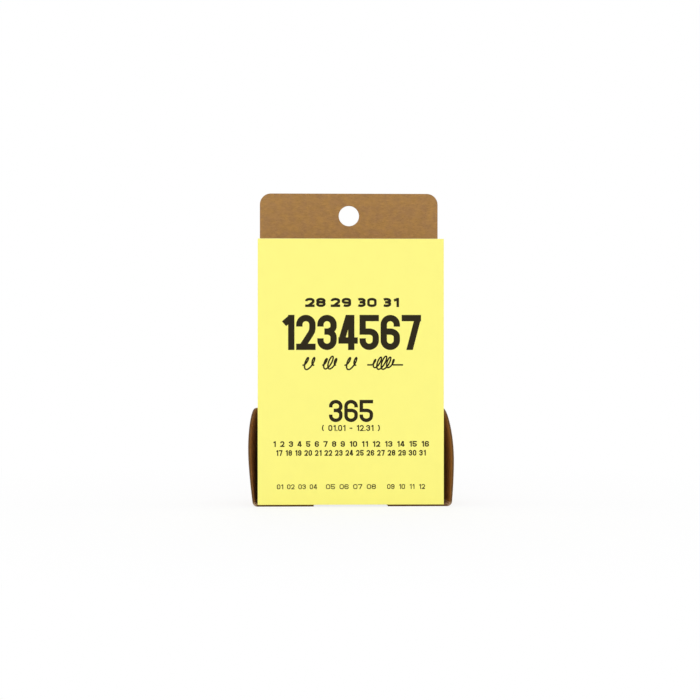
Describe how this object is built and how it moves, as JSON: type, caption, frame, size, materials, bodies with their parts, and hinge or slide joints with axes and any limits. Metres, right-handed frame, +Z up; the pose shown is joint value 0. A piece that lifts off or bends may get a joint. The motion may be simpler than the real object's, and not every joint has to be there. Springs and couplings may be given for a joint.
{
  "type": "tear-off calendar",
  "caption": "Day-leaf calendar block with a lifting cover sheet, seated in a folded kraft card holder with header, hang hole, curved side ears and notched floor.",
  "frame": {"origin": "bottom centre of the whole object's bounding box, on the surface that it stands on", "axes": "+Z up, +X to the right seen from the front, the cover faces -Y and the board's back faces +Y"},
  "size_m": [0.0776, 0.0274, 0.1204],
  "materials": {
    "kraft_card": "uncoated brown card with fine fibres",
    "leaf_paper": "thin uncoated paper",
    "cover_paper": "smooth uncoated yellow cover paper",
    "padding_glue": "dried white padding glue",
    "tape": "double-sided tape"
  },
  "bodies": {
    "base": {"holder": "kraft_card", "page_block": "leaf_paper", "binding_glue": "padding_glue", "adhesive_strip": "tape"},
    "cover": {"cover_sheet": "cover_paper"}
  },
  "joints": [
    {"name": "cover_hinge", "type": "hinge", "parent": "base", "child": "cover", "pos_m": [0, -0.01349, 0.10075], "axis": [-1, 0, 0], "range_deg": [0, 170]}
  ]
}
